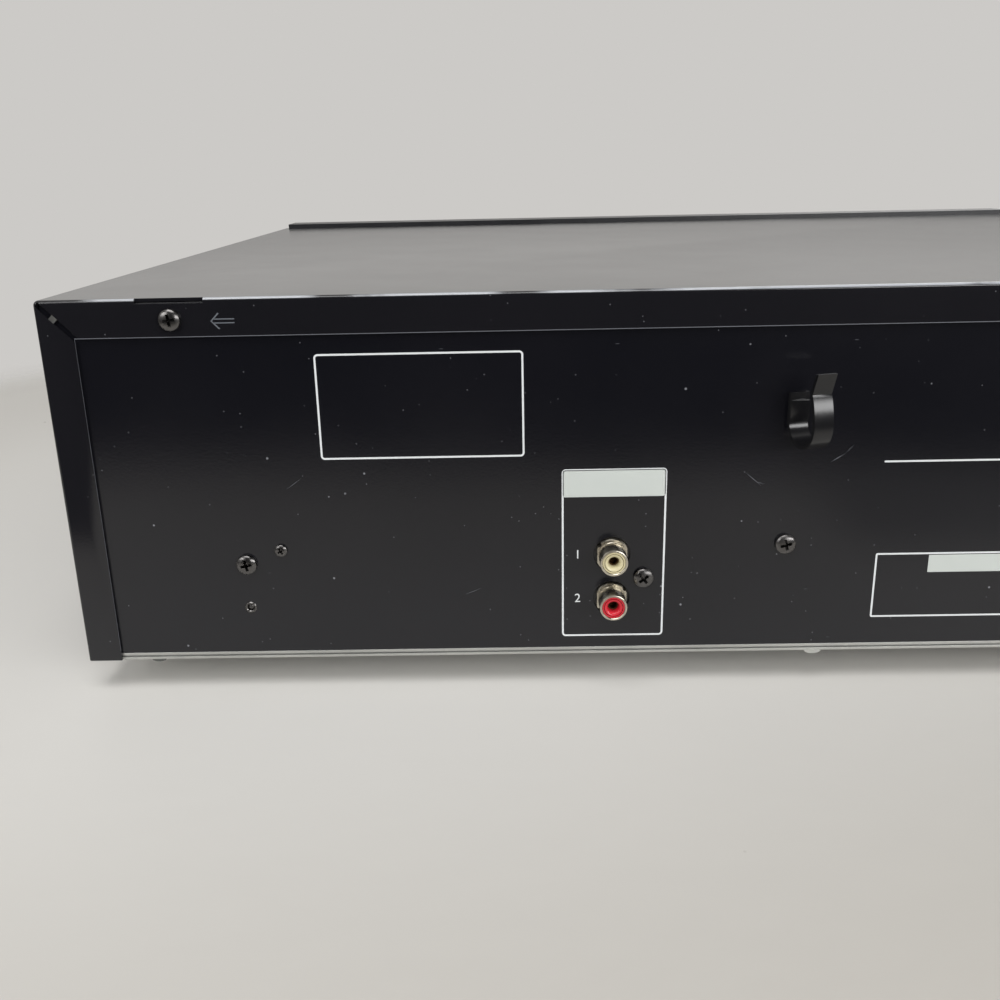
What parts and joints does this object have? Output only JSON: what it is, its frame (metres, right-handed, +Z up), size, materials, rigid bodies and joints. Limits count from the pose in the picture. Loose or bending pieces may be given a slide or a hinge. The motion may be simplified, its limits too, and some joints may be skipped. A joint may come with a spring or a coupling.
{
  "type": "multi disc cd changer",
  "caption": "Full-width home hi-fi disc changer with a sliding drawer, a turning carousel, a tipping player, front controls and rear sockets.",
  "frame": {"origin": "middle of the outline on the plane under the foot pads", "axes": "+Z up, the front faces -Y, +X is to the right seen from the front"},
  "size_m": [0.434, 0.3868, 0.125],
  "materials": {
    "bare_steel": "zinc-plated sheet, dull",
    "black_paint": "black satin paint with fine texture",
    "front_plastic": "black satin moulding",
    "smoked_window": "smoked clear acrylic",
    "display_glass": "dark display tube glass",
    "circuit_board": "phenolic circuit board",
    "component_black": "moulded and sleeved components",
    "aluminium": "mill finish",
    "laminations": "varnished laminated steel",
    "coil_tape": "yellow polyester tape",
    "black_plastic": "moulded nylon, slight gloss",
    "nickel": "nickel plate",
    "cream_plastic": "moulded insert",
    "red_plastic": "moulded insert",
    "foot_rubber": "soft ring pad",
    "black_nickel": "black zinc plate",
    "deck_plastic": "glass-filled black moulding",
    "plated_steel": "zinc plate",
    "belt_rubber": "square rubber belt",
    "tray_plastic": "dark grey moulding",
    "carousel_plastic": "dark grey moulding",
    "gear_plastic": "natural acetal",
    "brass": "turned brass",
    "rod_steel": "ground steel",
    "turntable_plastic": "black moulding",
    "sled_casting": "die-cast",
    "lens_glass": "coated lens",
    "puck_plastic": "white moulding",
    "button_plastic": "black key caps"
  },
  "bodies": {
    "chassis": {"bottom_chassis": "bare_steel", "rear_panel": "black_paint", "top_cover": "black_paint", "front_panel": "front_plastic", "display_window": "smoked_window", "display_tube": "display_glass", "key_board": "circuit_board", "main_board": "circuit_board", "board_parts": "component_black", "heat_sink": "aluminium", "transformer_core": "laminations", "transformer_coil": "coil_tape", "cord_gland": "black_plastic", "cord_clip": "black_plastic", "jack_block": "black_plastic", "jack_shells": "nickel", "jack_insert_white": "cream_plastic", "jack_insert_red": "red_plastic", "feet": "black_plastic", "foot_pads": "foot_rubber", "case_screws": "black_nickel", "rear_screws": "black_nickel", "mechanism_frame": "deck_plastic", "clamp_bridge": "plated_steel", "loading_motor": "plated_steel", "loading_belt": "belt_rubber", "headphone_jack": "black_plastic"},
    "drawer": {"drawer_tray": "tray_plastic", "tray_door": "front_plastic", "table_motor": "plated_steel", "carousel_cap": "tray_plastic"},
    "carousel": {"carousel": "carousel_plastic"},
    "table_gear": {"table_gear": "gear_plastic"},
    "loading_gear": {"loading_gear": "gear_plastic"},
    "motor_pulley": {"motor_pulley": "brass"},
    "base_unit": {"base_unit_frame": "deck_plastic", "guide_rods": "rod_steel", "spindle_motor": "plated_steel", "sled_motor": "plated_steel"},
    "turntable": {"spindle_turntable": "turntable_plastic"},
    "sled": {"optical_sled": "sled_casting", "pickup_lens": "lens_glass"},
    "sled_gear": {"sled_gear": "gear_plastic"},
    "lift_slider": {"lift_slider": "gear_plastic"},
    "clamp_puck": {"clamp_puck": "puck_plastic"},
    "select_dial": {"select_dial": "front_plastic"},
    "level_knob": {"level_knob": "front_plastic"},
    "power_button": {"power_button": "button_plastic"},
    "open_close_button": {"open_close_button": "button_plastic"},
    "disc_skip_button": {"disc_skip_button": "button_plastic"},
    "disc_button_1": {"disc_button_1": "button_plastic"},
    "disc_button_2": {"disc_button_2": "button_plastic"},
    "disc_button_3": {"disc_button_3": "button_plastic"},
    "disc_button_4": {"disc_button_4": "button_plastic"},
    "disc_button_5": {"disc_button_5": "button_plastic"},
    "play_button": {"play_button": "button_plastic"},
    "pause_button": {"pause_button": "button_plastic"},
    "stop_button": {"stop_button": "button_plastic"}
  },
  "joints": [
    {"name": "drawer_slide", "type": "slide", "parent": "chassis", "child": "drawer", "axis": [0, -1, 0], "range_m": [0, 0.225]},
    {"name": "carousel_turn", "type": "hinge", "parent": "drawer", "child": "carousel", "pos_m": [0, -0.00935, 0.086], "axis": [0, 0, 1], "continuous": true},
    {"name": "table_gear_turn", "type": "hinge", "parent": "drawer", "child": "table_gear", "pos_m": [0, -0.04835, 0.0804], "axis": [0, 0, 1], "continuous": true},
    {"name": "loading_gear_turn", "type": "hinge", "parent": "chassis", "child": "loading_gear", "pos_m": [0.141, -0.135, 0.068], "axis": [0, 0, 1], "range_deg": [-1433, 0]},
    {"name": "motor_pulley_turn", "type": "hinge", "parent": "chassis", "child": "motor_pulley", "pos_m": [0.086, -0.135, 0.0658], "axis": [0, 0, 1], "range_deg": [-7630, 0]},
    {"name": "base_unit_lift", "type": "hinge", "parent": "chassis", "child": "base_unit", "pos_m": [0, -0.01135, 0.069], "axis": [1, 0, 0], "range_deg": [0, 7.52]},
    {"name": "lift_slider_slide", "type": "slide", "parent": "chassis", "child": "lift_slider", "axis": [1, 0, 0], "range_m": [0, 0.0301]},
    {"name": "turntable_spin", "type": "hinge", "parent": "base_unit", "child": "turntable", "pos_m": [0, 0.09473, 0.055], "axis": [0, 0.1308, 0.9914], "continuous": true},
    {"name": "sled_slide", "type": "slide", "parent": "base_unit", "child": "sled", "axis": [0, -0.9914, 0.1308], "range_m": [0, 0.035]},
    {"name": "sled_gear_turn", "type": "hinge", "parent": "base_unit", "child": "sled_gear", "pos_m": [0.026, 0.04342, 0.05976], "axis": [0, 0.1308, 0.9914], "range_deg": [0, 251]},
    {"name": "puck_spin", "type": "hinge", "parent": "chassis", "child": "clamp_puck", "pos_m": [0, 0.09565, 0.098], "axis": [0, 0, 1], "continuous": true},
    {"name": "dial_turn", "type": "hinge", "parent": "chassis", "child": "select_dial", "pos_m": [0.184, -0.1877, 0.038], "axis": [0, -1, 0], "continuous": true},
    {"name": "level_turn", "type": "hinge", "parent": "chassis", "child": "level_knob", "pos_m": [-0.16, -0.1877, 0.026], "axis": [0, -1, 0], "range_deg": [-300, 0]},
    {"name": "power_press", "type": "slide", "parent": "chassis", "child": "power_button", "axis": [0, 1, 0], "range_m": [0, 0.0012], "stiffness_N_per_m": 300, "springref_m": -0.0005},
    {"name": "open_close_press", "type": "slide", "parent": "chassis", "child": "open_close_button", "axis": [0, 1, 0], "range_m": [0, 0.0012], "stiffness_N_per_m": 300, "springref_m": -0.0005},
    {"name": "disc_skip_press", "type": "slide", "parent": "chassis", "child": "disc_skip_button", "axis": [0, 1, 0], "range_m": [0, 0.0012], "stiffness_N_per_m": 300, "springref_m": -0.0005},
    {"name": "disc_button_1_press", "type": "slide", "parent": "chassis", "child": "disc_button_1", "axis": [0, 1, 0], "range_m": [0, 0.0012], "stiffness_N_per_m": 300, "springref_m": -0.0005},
    {"name": "disc_button_2_press", "type": "slide", "parent": "chassis", "child": "disc_button_2", "axis": [0, 1, 0], "range_m": [0, 0.0012], "stiffness_N_per_m": 300, "springref_m": -0.0005},
    {"name": "disc_button_3_press", "type": "slide", "parent": "chassis", "child": "disc_button_3", "axis": [0, 1, 0], "range_m": [0, 0.0012], "stiffness_N_per_m": 300, "springref_m": -0.0005},
    {"name": "disc_button_4_press", "type": "slide", "parent": "chassis", "child": "disc_button_4", "axis": [0, 1, 0], "range_m": [0, 0.0012], "stiffness_N_per_m": 300, "springref_m": -0.0005},
    {"name": "disc_button_5_press", "type": "slide", "parent": "chassis", "child": "disc_button_5", "axis": [0, 1, 0], "range_m": [0, 0.0012], "stiffness_N_per_m": 300, "springref_m": -0.0005},
    {"name": "play_press", "type": "slide", "parent": "chassis", "child": "play_button", "axis": [0, 1, 0], "range_m": [0, 0.0012], "stiffness_N_per_m": 300, "springref_m": -0.0005},
    {"name": "pause_press", "type": "slide", "parent": "chassis", "child": "pause_button", "axis": [0, 1, 0], "range_m": [0, 0.0012], "stiffness_N_per_m": 300, "springref_m": -0.0005},
    {"name": "stop_press", "type": "slide", "parent": "chassis", "child": "stop_button", "axis": [0, 1, 0], "range_m": [0, 0.0012], "stiffness_N_per_m": 300, "springref_m": -0.0005}
  ],
  "couplings": [
    {"joint": "table_gear_turn", "follows": "carousel_turn", "ratio": -3.3333},
    {"joint": "loading_gear_turn", "follows": "drawer_slide", "rad_per_m": -111.11},
    {"joint": "motor_pulley_turn", "follows": "drawer_slide", "rad_per_m": -591.59},
    {"joint": "lift_slider_slide", "follows": "base_unit_lift", "m_per_rad": 0.22863},
    {"joint": "sled_gear_turn", "follows": "sled_slide", "rad_per_m": 125}
  ]
}
